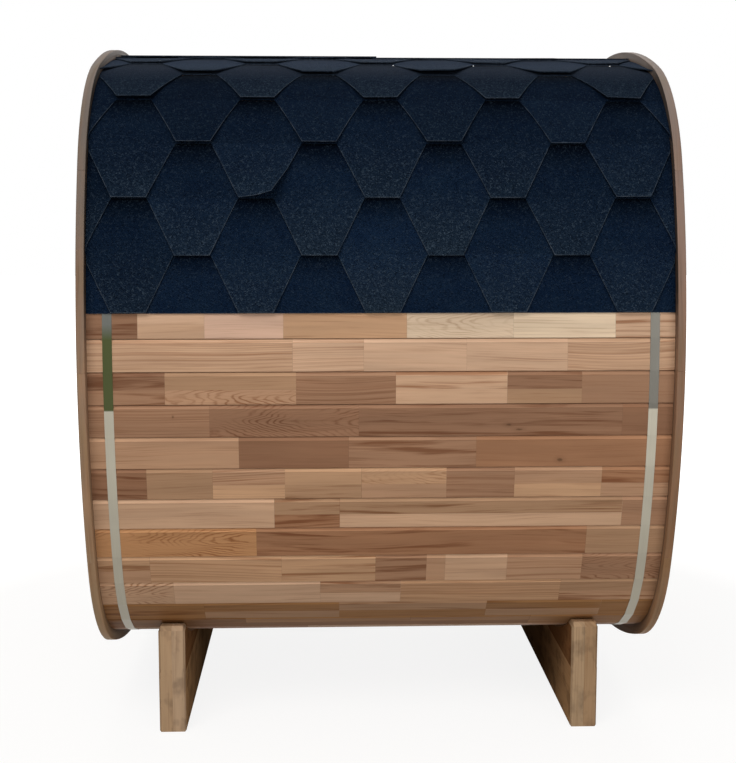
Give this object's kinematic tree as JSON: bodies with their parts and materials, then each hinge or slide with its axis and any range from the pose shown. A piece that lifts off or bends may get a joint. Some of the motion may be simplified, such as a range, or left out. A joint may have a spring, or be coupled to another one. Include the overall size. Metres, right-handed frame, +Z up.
{
  "type": "cube sauna cabin",
  "caption": "Rounded-square sauna cabin of horizontal cedar staves with steel bands, end rims, hexagonal shingle roofing and two cradle feet.",
  "frame": {"origin": "ground under the middle of the cabin, at the middle of the bounding box in plan", "axes": "+X along the staves towards the end with the doorway, +Y from the side in the picture towards the far side, +Z up"},
  "size_m": [1.6, 1.85, 1.991],
  "materials": {
    "stave_wood": "oiled red cedar lamellas, satin",
    "rim_wood": "stained softwood, satin",
    "board_wood": "planed cedar boards, satin",
    "handle_wood": "oiled hardwood",
    "cradle_wood": "laminated softwood, weathered",
    "shingle": "mineral-granule bitumen shingle",
    "band_steel": "stainless strip, satin",
    "hinge_steel": "stainless, satin"
  },
  "bodies": {
    "root": {"shell_top": "stave_wood", "corner_top_near": "stave_wood", "wall_near": "stave_wood", "corner_bottom_near": "stave_wood", "shell_bottom": "stave_wood", "corner_bottom_far": "stave_wood", "wall_far": "stave_wood", "corner_top_far": "stave_wood", "shingles_top": "shingle", "shingles_near": "shingle", "shingles_far": "shingle", "band_left": "band_steel", "band_right": "band_steel", "rim_left_sides": "rim_wood", "rim_left_corners": "rim_wood", "rim_right_sides": "rim_wood", "rim_right_corners": "rim_wood", "end_left": "board_wood", "end_right": "board_wood", "door_frame": "rim_wood", "door_leaf": "board_wood", "door_ledges": "rim_wood", "door_handle": "handle_wood", "door_hinges": "hinge_steel", "cradle_beam_left": "cradle_wood", "cradle_beam_right": "cradle_wood", "cradle_blocks_left": "cradle_wood", "cradle_blocks_right": "cradle_wood"}
  },
  "joints": []
}
